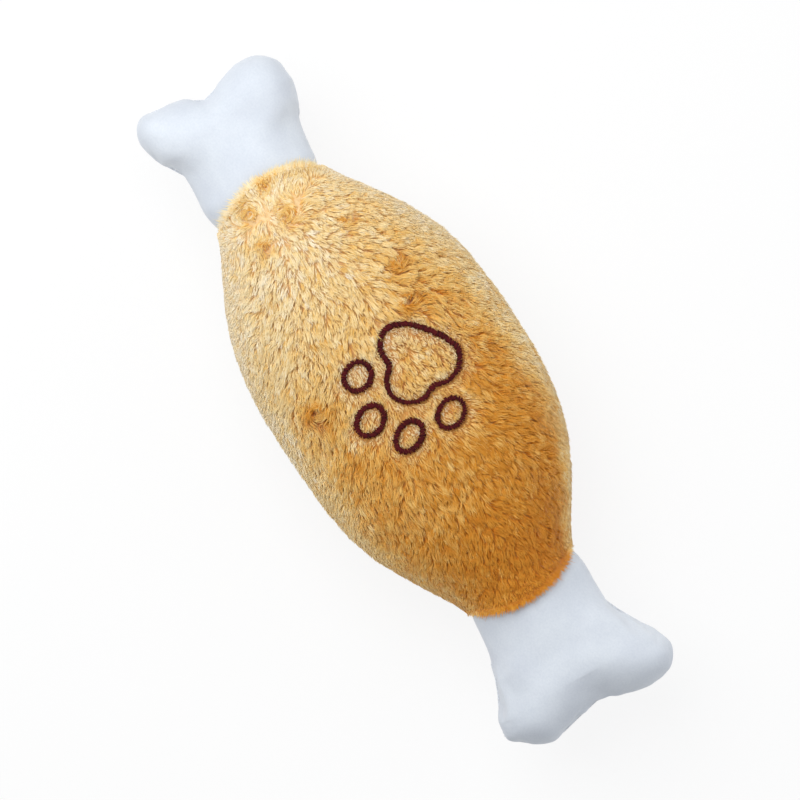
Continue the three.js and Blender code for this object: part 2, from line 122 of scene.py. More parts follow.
# Embroidery, about the centre of the body
STITCH_PITCH = 0.34 * MM
STITCH_RADIUS = 0.2 * MM
LINE_HALF_WIDTH = 0.72 * MM
LINE_LIFT = -0.4 * MM
PAW_REACH = np.array([28, 30]) * MM
PRESSED_FROM = 1.2 * MM
PRESSED_TO = 4.5 * MM
TOE_LEAN = math.radians(115)
TOES = [
    {"centre": (-9.1 * MM, -9.4 * MM), "long": 4.5 * MM, "short": 3.9 * MM},
    {"centre": (4.0 * MM, -13.5 * MM), "long": 4.9 * MM, "short": 3.8 * MM},
    {"centre": (14.2 * MM, -6.3 * MM), "long": 5.0 * MM, "short": 3.6 * MM},
    {"centre": (15.3 * MM, 7.9 * MM), "long": 4.8 * MM, "short": 3.7 * MM},
]
PAD_OUTLINE = np.array([
    [-16.2, 7], [-14, 11.6], [-9.4, 15.6], [-5, 18.6], [0.6, 20.2], [5.2, 17.2], [6.8, 12.2], [5.7, 8.2],
    [7.2, 3], [4.9, -2], [0.6, -4], [-3.6, -2.6], [-6.6, 0.2], [-11.6, 0.5], [-15.2, 3.2],
]) * MM

# White ends
END_FABRIC = 1.2 * MM
END_HALF_THICKNESS = 15 * MM
END_CREST_SETBACK = 14 * MM
END_CORNER_SETBACK = 10 * MM
END_WAIST = 5 * MM
END_ROUNDING = 10 * MM
END_SEAM_INSET = 0.3 * MM
END_SEAM_VALLEY = 0.5 * MM
NECK_HALF_WIDTH = 19.3 * MM
NECK_HALF_HEIGHT = 17.6 * MM
NECK_SLIMMING = 0.06
SLEEVE_DEPTH = 14.5 * MM
INFLATION = 1.5 * MM
INFLATION_FRAMES = 20
DENTS = [(0.35 * MM, 13 * MM), (0.08 * MM, 5 * MM)]
PUCKER_DEPTH = 0.12 * MM
PUCKER_LENGTH = 3.5 * MM
PUCKER_REACH = 7 * MM

# Filling
FILL_CLEARANCE = 0.4 * MM
FILL_INSET = 0.8 * MM
FILL_CURL = 5 * MM
FILL_VOXEL = 2 * MM

# Each outline runs from one side of the waist round both knobs to the other, in shares of reach and span
ENDS = {
    "left": {"span": 25.2 * MM, "reach": 34.8 * MM, "turn": math.radians(177.5), "outline": [
        (0.26, -0.83), (0.43, -0.94), (0.64, -1), (0.82, -0.94), (0.94, -0.77), (0.97, -0.52),
        (0.92, -0.24), (0.84, 0.04), (0.94, 0.26), (0.98, 0.58), (0.99, 0.82), (0.91, 0.95),
        (0.75, 0.99), (0.55, 0.91), (0.36, 0.75),
    ]},
    "right": {"span": 29.3 * MM, "reach": 41.3 * MM, "turn": math.radians(-2.5), "outline": [
        (0.2, -0.7), (0.36, -0.77), (0.5, -0.85), (0.65, -0.96), (0.79, -0.99), (0.89, -0.85),
        (0.99, -0.59), (0.96, -0.36), (0.93, -0.14), (0.9, 0.09), (0.95, 0.29), (0.99, 0.55),
        (0.98, 0.8), (0.9, 0.95), (0.78, 1), (0.63, 0.91), (0.47, 0.78), (0.31, 0.67),
    ]},
}

# The photograph's frame
PHOTO_TURN = math.radians(56.63)
PHOTO_WIDTH = 243 * MM
PHOTO_MIDDLE = (0.45 * MM, -2.7 * MM)
CAMERA_DISTANCE = 1.5

# Light: watts of the lamps, and the strength of the light from all round
WORLD_STRENGTH = 0.42
KEY_PLACE, KEY_WATTS = (-0.25, -0.05, 0.47), 2.4
FILL_PLACE, FILL_WATTS = (0.25, 0.42, 0.22), 0.75
LAMP_SIZE = 0.5


# Numbers and noise

def smooth(low, high, value):
    share = np.clip((value - low) / (high - low), 0, 1)
    return share * share * (3 - 2 * share)


def unit(vectors):
    return vectors / np.maximum(np.linalg.norm(vectors, axis=-1, keepdims=True), 1e-12)


def soft_noise(points, cell, seed):
    """Smooth noise from -1 to 1 at points (count, 3), with features about one cell wide."""
    cells = 32
    lattice = np.random.default_rng(seed).uniform(-1, 1, (cells,) * 3)
    scaled = np.asarray(points) / cell
    low = np.floor(scaled).astype(int)
    share = smooth(0, 1, scaled - low)
    total = np.zeros(len(scaled))
    for corner in itertools.product((0, 1), repeat=3):
        weight = np.prod(np.where(corner, share, 1 - share), axis=-1)
        total += weight * lattice[tuple(((low + corner) % cells).T)]
    return total


# Lines of the plan

def spline(points):
    """A smooth line through all but the first and last of the points, which only steer it."""
    share = np.linspace(0, 1, 40, endpoint=False)[:, None]
    spans = []
    for a, b, c, d in zip(points, points[1:], points[2:], points[3:]):
        curve = 2 * b + (c - a) * share + (2 * a - 5 * b + 4 * c - d) * share ** 2
        spans.append((curve + (3 * b - a - 3 * c + d) * share ** 3) / 2)
    return np.concatenate([*spans, points[-2:-1]])


def evenly(line, spacing):
    """Points along a line, both ends included, as near to the spacing as it divides into."""
    run = np.append(0, np.cumsum(np.linalg.norm(np.diff(line, axis=0), axis=1)))
    places = np.linspace(0, run[-1], round(run[-1] / spacing) + 1)
    return np.stack([np.interp(places, run, line[:, k]) for k in range(2)], -1)


# Meshes

def make_piece(name, points, faces, material, smooth_faces=True):
    """A mesh object from points (count, 3) and faces (count, sides)."""
    faces = np.asarray(faces, np.int32)
    count, sides = faces.shape
    mesh = bpy.data.meshes.new(name)
    mesh.vertices.add(len(points))
    mesh.vertices.foreach_set("co", np.asarray(points, np.float32).ravel())
    mesh.loops.add(count * sides)
    mesh.loops.foreach_set("vertex_index", faces.ravel())
    mesh.polygons.add(count)
    mesh.polygons.foreach_set("loop_start", np.arange(0, count * sides, sides, dtype=np.int32))
    mesh.polygons.foreach_set("use_smooth", np.full(count, smooth_faces))
    mesh.update(calc_edges=True)
    mesh.materials.append(material)
    piece = bpy.data.objects.new(name, mesh)
    bpy.context.scene.collection.objects.link(piece)
    return piece


def grid_faces(rows, columns, start=0, flip=False):
    index = start + np.arange(rows * columns).reshape(rows, columns)
    corners = [index[:-1, :-1], index[1:, :-1], index[1:, 1:], index[:-1, 1:]]
    faces = np.stack(corners, -1).reshape(-1, 4)
    return faces[:, ::-1] if flip else faces


def grid_border(rows, columns):
    index = np.arange(rows * columns).reshape(rows, columns)
    return np.concatenate([index[:, 0], index[-1, 1:], index[-2::-1, -1], index[0, -2:0:-1]])


def sheet_mesh(outer, inner, flip=False):
    """Points and faces of a closed sheet between two matching grids (rows, columns, 3)."""
    rows, columns, _ = outer.shape
    size = rows * columns
    border = grid_border(rows, columns)
    ahead = np.roll(border, -1)
    edge = np.stack([border, ahead, ahead + size, border + size], -1)
    faces = np.concatenate([
        grid_faces(rows, columns, 0, flip),
        grid_faces(rows, columns, size, not flip),
        edge[:, ::-1] if flip else edge,
    ])
    return np.concatenate([outer.reshape(-1, 3), inner.reshape(-1, 3)]), faces


def grid_normals(grid):
    return unit(np.cross(np.gradient(grid, axis=0), np.gradient(grid, axis=1)))


def fibre_piece(name, paths, radii, sides, tones, sideways, material, pointed=False):
    """Closed fibres along paths (count, steps, 3), each with a tone that its material reads.

    Pointed fibres have flat faces, one of them upward. The fibre's tone and the share of its length are
    also its place on its texture map, OFBake.
    """
    count, steps, _ = paths.shape
    rings = steps - 1 if pointed else steps
    ahead = unit(np.gradient(paths, axis=1))
    over = unit(np.cross(ahead, sideways[:, None, :]))
    side = np.cross(over, ahead)
    turn = 2 * np.pi * np.arange(sides) / sides - np.pi / 2
    spread = (
        np.cos(turn)[:, None] * side[:, :rings, None, :] + np.sin(turn)[:, None] * over[:, :rings, None, :]
    )
    points = paths[:, :rings, None, :] + radii[:, :rings, None, None] * spread
    points = points.reshape(count, rings * sides, 3)
    along = np.repeat(np.arange(rings) / (steps - 1), sides)
    across = np.tile(np.arange(sides) / (sides - 1) - 0.5, rings)
    if pointed:
        points = np.concatenate([points, paths[:, -1:, :]], axis=1)
        along = np.append(along, 1)
        across = np.append(across, 0)
    faces = fibre_faces(rings, sides, pointed)
    size = points.shape[1]
    offsets = size * np.arange(count)[:, None, None]
    triangles = (faces + offsets).reshape(-1, 3)
    piece = make_piece(name, points.reshape(-1, 3), triangles, material, smooth_faces=not pointed)
    along = np.tile(along, count)
    across = np.tile(across, count)
    tones = np.repeat(tones, size)
    for label, values in (("tone", tones), ("along", along)):
        attribute = piece.data.attributes.new(label, "FLOAT", "POINT")
        attribute.data.foreach_set("value", values.astype(np.float32))
    chart = np.stack([0.02 + 0.96 * tones + 0.01 * across, 0.02 + 0.96 * along], -1)
    layer = piece.data.uv_layers.new(name="OFBake")
    layer.uv.foreach_set("vector", chart[triangles].astype(np.float32).ravel())
    return piece


def fibre_faces(rings, sides, pointed):
    faces = [(0, k + 1, k) for k in range(1, sides - 1)]
    for ring, k in itertools.product(range(rings - 1), range(sides)):
        a, b = ring * sides + k, ring * sides + (k + 1) % sides
        faces += [(a, b, b + sides), (a, b + sides, a + sides)]
    last = (rings - 1) * sides
    if pointed:
        faces += [(last + k, last + (k + 1) % sides, last + sides) for k in range(sides)]
    else:
        faces += [(last, last + k, last + k + 1) for k in range(1, sides - 1)]
    return np.array(faces)


# Materials

def colour(red, green, blue):
    """A colour for a shader, from the eight-bit values that a screen shows."""
    channels = np.array([red, green, blue]) / 255
    linear = np.where(channels <= 0.04045, channels / 12.92, ((channels + 0.055) / 1.055) ** 2.4)
    return (*linear, 1)


class Finish:
    """A node material that grows from a Principled shader."""

    def __init__(self, name, **values):
        self.material = bpy.data.materials.new(name)
        self.material.use_nodes = True
        self.tree = self.material.node_tree
        self.shader = self.tree.nodes["Principled BSDF"]
        for socket, value in values.items():
            self.shader.inputs[socket.replace("_", " ").title()].default_value = value

    def node(self, kind, inputs=(), **settings):
        made = self.tree.nodes.new(f"ShaderNode{kind}")
        for key, value in settings.items():
            setattr(made, key, value)
        for key, value in dict(inputs).items():
            if isinstance(value, bpy.types.NodeSocket):
                self.tree.links.new(value, made.inputs[key])
            else:
                made.inputs[key].default_value = value
        return made

    def attribute(self, name):
        return self.node("Attribute", attribute_name=name).outputs["Fac"]

    def noise(self, scale, detail=3, vector=None):
        place = vector or self.node("TexCoord").outputs["Object"]
        return self.node("TexNoise", {"Vector": place, "Scale": scale, "Detail": detail}).outputs["Fac"]

    def share_of_length(self):
        place = self.node("SeparateXYZ", {0: self.node("TexCoord").outputs["Object"]}).outputs["X"]
        return self.node("MapRange", {0: place, 1: -HALF_LENGTH, 2: HALF_LENGTH}).outputs["Result"]

    def ramp(self, value, stops):
        made = self.node("ValToRGB", {"Fac": value})
        while len(made.color_ramp.elements) < len(stops):
            made.color_ramp.elements.new(0.5)
        for element, (position, shade) in zip(made.color_ramp.elements, stops):
            element.position = position
            element.color = shade
        return made.outputs["Color"]

    def mix(self, share, first, second, blend="MIX"):
        made = self.node("Mix", {"Factor": share}, data_type="RGBA", blend_type=blend)
        for socket, value in zip((made.inputs[6], made.inputs[7]), (first, second)):
            if isinstance(value, bpy.types.NodeSocket):
                self.tree.links.new(value, socket)
            else:
                socket.default_value = value
        return made.outputs[2]

    def span(self, value, low, high):
        return self.node("MapRange", {"Value": value, "To Min": low, "To Max": high}).outputs["Result"]

    def set(self, socket, value):
        self.tree.links.new(value, self.shader.inputs[socket])

    def bump(self, height, strength, distance):
        made = self.node("Bump", {"Height": height, "Strength": strength, "Distance": distance})
        self.set("Normal", made.outputs["Normal"])


def pile_finish():
    finish = Finish("caramel_pile", sheen_weight=0.6, sheen_roughness=0.5)
    finish.shader.inputs["Sheen Tint"].default_value = colour(255, 236, 206)
    finish.shader.inputs["Specular IOR Level"].default_value = 0.12
    tone = finish.attribute("tone")
    along = finish.attribute("along")
    hue = finish.ramp(tone, [
        (0, colour(198, 122, 24)), (0.3, colour(225, 158, 55)), (0.55, colour(245, 206, 122)),
        (0.8, colour(254, 237, 188)), (1, colour(255, 249, 230)),
    ])
    # roots warmer and darker than tips: partly the pile's dye, partly painted shade between the strands
    depth = finish.ramp(along, [
        (0.05, colour(236, 184, 112)), (0.35, colour(252, 236, 206)), (0.75, colour(255, 255, 255)),
    ])
    base = finish.mix(1, hue, depth, "MULTIPLY")
    place = finish.node("CombineXYZ", {"X": tone, "Y": along}).outputs["Vector"]
    streak = finish.node("TexNoise", {"Vector": place, "Scale": 60, "Detail": 2}).outputs["Fac"]
    shade = finish.ramp(streak, [(0.3, colour(240, 230, 216)), (0.7, colour(255, 255, 255))])
    finish.set("Base Color", finish.mix(0.6, base, shade, "MULTIPLY"))
    finish.set("Roughness", finish.span(along, 0.85, 0.6))
    return finish.material


def skin_finish():
    finish = Finish("caramel_backing", roughness=0.95)
    # paler towards the left end like the pile over it: partly its own colour, partly painted light
    hue = finish.ramp(finish.share_of_length(), [
        (0, colour(244, 214, 164)), (0.5, colour(232, 176, 100)), (1, colour(206, 132, 44)),
    ])
    shade = finish.ramp(finish.noise(500), [(0.3, colour(226, 214, 196)), (0.7, colour(255, 255, 255))])
    finish.set("Base Color", finish.mix(1, hue, shade, "MULTIPLY"))
    finish.bump(finish.noise(1400, 4), 0.6, 0.3 * MM)
    return finish.material


def white_finish():
    finish = Finish("white_nap", sheen_weight=0.25, sheen_roughness=0.5)
    mottle = finish.noise(70, 3)
    nap = finish.noise(1500, 4)
    shade = finish.ramp(mottle, [(0.3, colour(208, 214, 223)), (0.7, colour(220, 226, 233))])
    grain = finish.ramp(nap, [(0.3, colour(240, 242, 245)), (0.65, colour(255, 255, 255))])
    finish.set("Base Color", finish.mix(0.5, shade, grain, "MULTIPLY"))
    finish.set("Roughness", finish.span(nap, 0.8, 0.98))
    finish.bump(nap, 0.2, 0.15 * MM)
    return finish.material


def thread_finish(name, dark, light, roughness):
    finish = Finish(name)
    finish.shader.inputs["Specular IOR Level"].default_value = 0.15
    tone = finish.attribute("tone")
    along = finish.attribute("along")
    place = finish.node("CombineXYZ", {"X": tone, "Y": along}).outputs["Vector"]
    ply = finish.node("TexNoise", {"Vector": place, "Scale": 35, "Detail": 2}).outputs["Fac"]
    shade = finish.mix(0.4, finish.ramp(tone, [(0, dark), (1, light)]), finish.ramp(ply, [
        (0.3, colour(190, 190, 190)), (0.7, colour(255, 255, 255)),
    ]), "MULTIPLY")
    finish.set("Base Color", shade)
    finish.set("Roughness", finish.span(ply, roughness - 0.1, roughness + 0.1))
    return finish.material


def plain_thread_finish(name, left, right):
    finish = Finish(name)
    ply = finish.noise(2500, 2)
    hue = finish.ramp(finish.share_of_length(), [(0, left), (1, right)])
    twist = finish.ramp(ply, [(0.35, colour(222, 222, 222)), (0.65, colour(255, 255, 255))])
    finish.set("Base Color", finish.mix(1, hue, twist, "MULTIPLY"))
    finish.set("Roughness", finish.span(ply, 0.6, 0.8))
    finish.bump(ply, 0.5, 0.1 * MM)
    return finish.material


def fibre_finish():
    finish = Finish("fibre_fill", sheen_weight=0.2)
    curl = finish.noise(420, 6)
    wool = finish.ramp(curl, [(0.3, colour(222, 222, 214)), (0.7, colour(250, 250, 246))])
    finish.set("Base Color", wool)
    finish.set("Roughness", finish.span(curl, 0.85, 1))
    finish.bump(curl, 0.8, 1 * MM)
    return finish.material


def felt_finish():
    finish = Finish("backing_felt")
    web = finish.noise(900, 5)
    finish.set("Base Color", finish.ramp(web, [(0.3, colour(214, 210, 198)), (0.7, colour(240, 237, 228))]))
    finish.set("Roughness", finish.span(web, 0.85, 0.98))
    finish.bump(web, 0.5, 0.3 * MM)
    return finish.material


def plastic_finish(name, dark, light, roughness):
    finish = Finish(name)
    flow = finish.noise(160, 3)
    finish.set("Base Color", finish.ramp(flow, [(0.3, dark), (0.7, light)]))
    finish.set("Roughness", finish.span(flow, roughness - 0.06, roughness + 0.08))
    finish.bump(finish.noise(900, 2), 0.15, 0.1 * MM)
    return finish.material


PILE = pile_finish()
SKIN = skin_finish()
WHITE = white_finish()
STITCH = thread_finish("maroon_thread", colour(58, 8, 14), colour(92, 20, 24), 0.75)
# paler towards the left end like the pile: partly its own colour, partly painted light
CARAMEL_THREAD = plain_thread_finish("caramel_thread", colour(250, 218, 164), colour(214, 138, 44))
WHITE_THREAD = plain_thread_finish("white_thread", colour(226, 231, 238), colour(230, 234, 240))
FIBRE = fibre_finish()
FELT = felt_finish()
BULB = plastic_finish("bulb_plastic", colour(226, 226, 218), colour(244, 244, 238), 0.42)
INSERT = plastic_finish("insert_plastic", colour(208, 214, 220), colour(230, 234, 238), 0.35)


# Pieces that the squeeze would move, with the crown going down and everything below the necks' tops
# staying: here their transform is only baked into their mesh


def press(piece):
    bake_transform(piece)


# Barrel

def barrel(x):
    return (1 - np.minimum(np.abs(x) / HALF_LENGTH, 1) ** FULLNESS) ** DRAW


def bow(x):
    return -BOW * np.minimum(np.abs(x) / HALF_LENGTH, 1) ** 2


def plush(x):
    return RIM_PLUSH + (PLUSH - RIM_PLUSH) * barrel(x)


def half_width(x):
    return NECK_RADIUS + (HALF_WIDTH - NECK_RADIUS) * barrel(x)


def half_height(x):
    return NECK_RADIUS + (HALF_HEIGHT - NECK_RADIUS) * barrel(x)


def rim_x(angle):
    return RIM_AT_SIDES + (RIM_AT_CROWN - RIM_AT_SIDES) * np.sin(angle) ** 2


def barrel_point(share, angle, depth):
    """A share of the way along, at an angle from the far side seam, a depth of plush below the surface."""
    x = share * rim_x(angle)
    inset = depth * plush(x)
    y = bow(x) + (half_width(x) - inset) * np.cos(angle)
    z = (half_height(x) - inset) * np.sin(angle)
    return CENTRE + np.stack([x, y, z], -1)


def crown_height(x, y):
    """Height of the front surface over a point of the plan, both about the centre."""
    across = np.clip((y - bow(x)) / half_width(x), -1, 1)
    return half_height(x) * np.sqrt(1 - across ** 2)


def body_skin(name, node, front):
    shares = np.linspace(-1, 1, 120)
    angles = np.linspace(SKIN_GAP, np.pi - SKIN_GAP, 72) + (0 if front else np.pi)
    share, angle = np.meshgrid(shares, angles, indexing="ij")
    outer = barrel_point(share, angle, PILE_ROOT)
    inner = barrel_point(share, angle, 1)
    points, faces = sheet_mesh(outer, inner, flip=True)
    piece = make_piece(name, points, faces, SKIN)
    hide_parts(node)
    return piece


front_skin = body_skin("body_front_skin", "body_front_panel", True)
press(front_skin)
back_skin = body_skin("body_back_skin", "body_back_panel", False)
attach(back_skin, "body")


# Embroidered paw

def loop_through(points):
    return spline(np.concatenate([points[-1:], points, points[:2]]))


def oval(toe):
    turn = np.linspace(0, 2 * np.pi, 120)[:, None]
    axis = np.array([math.cos(TOE_LEAN), math.sin(TOE_LEAN)])
    across = np.array([-axis[1], axis[0]])
    return toe["centre"] + toe["long"] * np.cos(turn) * axis + toe["short"] * np.sin(turn) * across


PAW_LINES = {"paw_pad_outline": evenly(loop_through(PAD_OUTLINE), STITCH_PITCH)[:-1]}
for number, toe in enumerate(TOES, 1):
    PAW_LINES[f"paw_toe_outline_{number}"] = evenly(oval(toe), STITCH_PITCH)[:-1]


def satin_line(node, line, rng):
    """A raised line of slanted satin stitches whose ends dip into the pile."""
    count = len(line)
    ahead = unit(np.roll(line, -1, axis=0) - np.roll(line, 1, axis=0))
    slant = rng.normal(0.4, 0.15, (count, 1))
    across = unit(np.stack([ahead[:, 1], -ahead[:, 0]], -1) + slant * ahead)
    reach = LINE_HALF_WIDTH + rng.uniform(-0.25, 0.3, (2, count)) * MM
    reach += 0.15 * MM * soft_noise(np.pad(line, ((0, 0), (0, 1))), 6 * MM, 12)
    steps = np.array([-1, -0.8, -0.4, 0, 0.4, 0.8, 1])
    lift = np.array([-0.9, 0, 0.14, 0.18, 0.14, 0, -0.9]) * MM
    length = np.where(steps[None, :] < 0, reach[0][:, None], reach[1][:, None]) * steps
    plan = line[:, None, :] + length[..., None] * across[:, None, :]
    height = crown_height(plan[..., 0], plan[..., 1]) + LINE_LIFT + lift
    height += rng.uniform(-0.08, 0.08, (count, 1)) * MM
    paths = CENTRE + np.concatenate([plan, height[..., None]], -1)
    sideways = np.concatenate([ahead, np.zeros((count, 1))], -1)
    radii = np.full((count, len(steps)), STITCH_RADIUS) * rng.uniform(0.85, 1.1, (count, 1))
    piece = fibre_piece(f"{node}_stitches", paths, radii, 6, rng.uniform(0, 1, count), sideways, STITCH)
    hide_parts(node)
    press(piece)


stitch_rng = np.random.default_rng(11)
for node, line in PAW_LINES.items():
    satin_line(node, line, stitch_rng)


# Pile of the body

def tree_of(points):
    tree = kdtree.KDTree(len(points))
    for i, point in enumerate(points):
        tree.insert(point, i)
    tree.balance()
    return tree


line_tree = tree_of([(*point, 0) for line in PAW_LINES.values() for point in line])


def line_distance(plan):
    """How far each point of the plan lies from the middle of the embroidered line."""
    return np.array([line_tree.find((x, y, 0))[2] for x, y in plan])


def inside(outline, plan):
    x, y = plan[:, 0], plan[:, 1]
    found = np.zeros(len(plan), bool)
    for (ax, ay), (bx, by) in zip(outline, np.roll(outline, -1, axis=0)):
        crosses = (ay > y) != (by > y)
        found ^= crosses & (x < (bx - ax) * (y - ay) / (by - ay + 1e-15) + ax)
    return found


# Matted places of the pile, whose darker tone is both matted fur and painted shade in their partings: plan
# position about the centre, and radius
MATTED = np.array([
    [-60.5, -1, 4], [-58, -11, 3.5], [-71, -1, 3], [-68, -10, 3],
    [-49, 13, 2.5], [-31, 17, 4], [-19, 15, 4], [-6.5, -25, 4],
]) * MM


def scatter(count, front, rng):
    """Shares and angles of roots spread over one half of the barrel, with a closer fringe on its rims."""
    rows, columns = 240, 120
    shares = np.linspace(-1, 1, rows + 1)
    angles = np.linspace(0, np.pi, columns + 1) + (0 if front else np.pi)
    share, angle = np.meshgrid(shares, angles, indexing="ij")
    grid = barrel_point(share, angle, PILE_ROOT)
    area = np.linalg.norm(np.cross(
        grid[1:, :-1] - grid[:-1, :-1], grid[:-1, 1:] - grid[:-1, :-1]), axis=-1).ravel()
    total = np.cumsum(area) / area.sum()
    cells = np.searchsorted(total, (np.arange(count) + rng.random(count)) / count)
    row, column = np.unravel_index(np.minimum(cells, len(total) - 1), (rows, columns))
    fringe = round(FRINGE_SHARE * count)
    rim = np.where(rng.random(fringe) < 0.5, -1, 1) * (1 - FRINGE_DEPTH * rng.random(fringe))
    return (
        np.append(shares[row] + rng.random(count) * (shares[1] - shares[0]), rim),
        np.append(angles[column] + rng.random(count) * (angles[1] - angles[0]),
                  angles[0] + np.pi * rng.random(fringe)),
    )


def pile_fields(share, angle, front):
    """Roots, outward normals and the two directions of the skin, towards +X and towards +Y."""
    def root(share_step, angle_step):
        return barrel_point(share + share_step, angle + angle_step, PILE_ROOT)

    step = 1e-4
    ahead = unit(root(step, 0) - root(-step, 0))
    around = unit(root(0, step) - root(0, -step))
    return root(0, 0), unit(np.cross(around, ahead)), ahead, -around if front else around


def clear_of_neck(points, pivot):
    """The points, pushed sideways out of the ground that a white neck turns in."""
    away = points - pivot
    past = np.minimum(np.abs(away[..., :1]), NECK_HALF_HEIGHT)
    rise = (away[..., 2:] / np.linalg.norm(away[..., 1:], axis=-1, keepdims=True)) ** 2
    rim = RIM_AT_SIDES + (RIM_AT_CROWN - RIM_AT_SIDES) * rise
    beyond = np.maximum(0, np.abs(points[..., :1] - CENTRE[0]) - rim)
    room = np.sqrt(np.array([NECK_HALF_WIDTH, NECK_HALF_HEIGHT]) ** 2 - past ** 2)
    room += RIM_CLEARANCE + RIM_FLARE * beyond
    share = np.linalg.norm(away[..., 1:] / room, axis=-1, keepdims=True)
    away[..., 1:] *= np.maximum(1, 1 / np.maximum(share, 1e-9))
    return pivot + away


def mats(roots, plan, front, seed):
    """How matted the pile is at each root, and the whorl that it lies in there, towards +X and +Y."""
    matted = np.zeros(len(plan))
    whorl = np.zeros((len(plan), 2))
    if front:
        warp = np.stack([soft_noise(roots, 5 * MM, seed + k) for k in (10, 11)], -1)
        for x, y, radius in MATTED:
            away = plan + MAT_WANDER * warp - (x, y)
            weight = np.exp(-np.sum(away ** 2, axis=1) / radius ** 2)
            matted = np.maximum(matted, weight)
            whorl += weight[:, None] * unit(np.stack([-away[:, 1], away[:, 0]], -1) - 0.6 * away)
    return matted, whorl


def pile_heading(share, angle, roots, x, seed):
    """Shares of each strand's lie that point towards +X and towards +Y."""
    fan = np.interp(share, [-1, 1], [FAN_AT_LEFT, FAN_AT_RIGHT])
    heading = np.arctan(fan * np.cos(angle)) + 0.35 * soft_noise(roots, WAVE, seed + 1)
    heading += 0.5 * soft_noise(roots, CURL, seed + 2)
    parting = 2 * smooth(*PARTING, x + PARTING_WANDER * soft_noise(roots, LUMP, seed + 4)) - 1
    return (parting * np.cos(heading))[:, None], np.sin(heading)[:, None]


def pile_tone(x, angle, flank):
    """Tone of the pile, from orange at 0 to cream at 1, before its tufts vary it. Along and across the
    barrel it holds painted light as well as the pile's own colour, and on the flanks a painted sheen.
    """
    place = x / HALF_LENGTH
    # paler towards the left end and the near side: partly the pile's own colour, partly painted light
    tone = np.interp(place, TONE_PLACES, PILE_TONES_AND_PAINTED_LIGHT) - 0.1 * np.cos(angle)
    near_side = np.interp(place, NEAR_FLANK_PLACES, NEAR_FLANK_PAINTED_SHEEN)
    # painted sheen: the flanks pale towards cream, as a grazing highlight would
    return tone + np.where(np.cos(angle) > 0, FAR_FLANK_PAINTED_SHEEN, near_side) * flank * (1 - tone)


def grow_pile(front, count, seed):
    """Paths, tones, widths and sideways directions of the strands of one half of the body."""
    rng = np.random.default_rng(seed)
    share, angle = scatter(count, front, rng)
    count = len(share)
    roots, normals, ahead, lateral = pile_fields(share, angle, front)
    local = roots - CENTRE
    plan = local[:, :2]
    fullness = plush(local[:, 0]) / PLUSH

    line_gap = np.full(count, 1.0)
    near = front & np.all(np.abs(plan) < PAW_REACH, axis=1)
    line_gap[near] = line_distance(plan[near])
    pressed = 1 - smooth(PRESSED_FROM, PRESSED_TO, line_gap)
    within = np.zeros(count, bool)
    if front:
        for line in PAW_LINES.values():
            within |= inside(line, plan)
    # the barrel's sides, where the pile is shorter and its tone gets painted sheen
    flank = smooth(FLANK_START, 1, np.abs(np.cos(angle)) + 0.05 * soft_noise(roots, 8 * MM, seed + 9))
    from_rim = (1 - np.abs(share)) * RIM_AT_SIDES
    edge = 1 - smooth(0, RIM_EASE, from_rim)
    roll = 1 - smooth(0, RIM_ROLL, from_rim)

    matted, whorl = mats(roots, plan, front, seed)
    forward, sideward = pile_heading(share, angle, roots, local[:, 0], seed)
    flow = forward * ahead + sideward * lateral
    flow = unit(flow * (1 - matted)[:, None] + whorl[:, :1] * ahead + whorl[:, 1:] * lateral)
    length = PILE_LENGTH * (0.62 + 0.38 * fullness) * (1 + 0.16 * soft_noise(roots, 5 * MM, seed + 6))
    length *= (1 - 0.62 * pressed) * np.where(within, 0.62, 1)
    length *= (1 - 0.3 * flank) * (1 - 0.4 * edge + 0.25 * roll)
    layer = rng.random(count)
    lumps = 1 + 0.2 * soft_noise(roots, LUMP, seed + 8)
    thickness = PILE_ROOT * plush(local[:, 0]) * lumps * (1 - 0.25 * pressed) * (1 + 0.2 * edge)

    tufts = rng.choice(count, count // STRANDS_IN_TUFT, replace=False)
    tree = tree_of(roots[tufts])
    tuft = tufts[[tree.find(root)[1] for root in roots]]
    jitter = rng.normal(0, 1, (count, 3))
    jitter -= 0.8 * np.sum(jitter * normals, axis=1, keepdims=True) * normals
    flow = flow + 0.27 * jitter
    tips = roots + length[:, None] * flow + (thickness * (0.5 + 0.55 * layer))[:, None] * normals
    loose = (1 - 0.5 * np.maximum(pressed, flank)) * (1 - 0.8 * edge)
    pull = (rng.uniform(0.4, 0.85, count) * loose)[:, None]
    gathered = tips[tuft] + 0.3 * (roots - roots[tuft]) + 0.2 * MM * jitter[:, ::-1]
    tips = tips + pull * (gathered - tips)
    middles = roots + 0.42 * (tips - roots)
    middles += (thickness * (0.15 + 0.3 * layer))[:, None] * normals
    tips -= (RIM_DROOP * roll)[:, None] * normals
    paths = np.stack([roots - ROOT_DEPTH * normals, middles, tips], axis=1)
    for pivot in PIVOTS.values():
        paths = clear_of_neck(paths, pivot)
    paths[..., 2] = np.maximum(paths[..., 2], FLOOR_CLEARANCE)

    tuft_tone = rng.normal(0, 0.07, count)[tuft]
    tone = pile_tone(local[:, 0], angle, flank)
    tone += tuft_tone + rng.normal(0, 0.05, count) + 0.06 * soft_noise(roots, 11 * MM, seed + 7)
    # pile pressed beside the stitches is made paler, a painted highlight; matted places are darker, as
    # matted fur and as painted shade in their partings
    tone += 0.2 * pressed + 0.1 * within - 0.4 * matted
    widths = PILE_WIDTH * rng.uniform(0.75, 1.2, count) * (1 - 0.25 * pressed)
    widths *= 1 if front else BACK_BREADTH

    keep = line_gap > LINE_HALF_WIDTH
    if front:
        tip_gap = line_distance(tips[near, :2] - CENTRE[:2])
        keep[near] &= tip_gap > 0.75 * LINE_HALF_WIDTH
    return paths[keep], np.clip(tone, 0, 1)[keep], widths[keep], unit(np.cross(normals, flow))[keep]


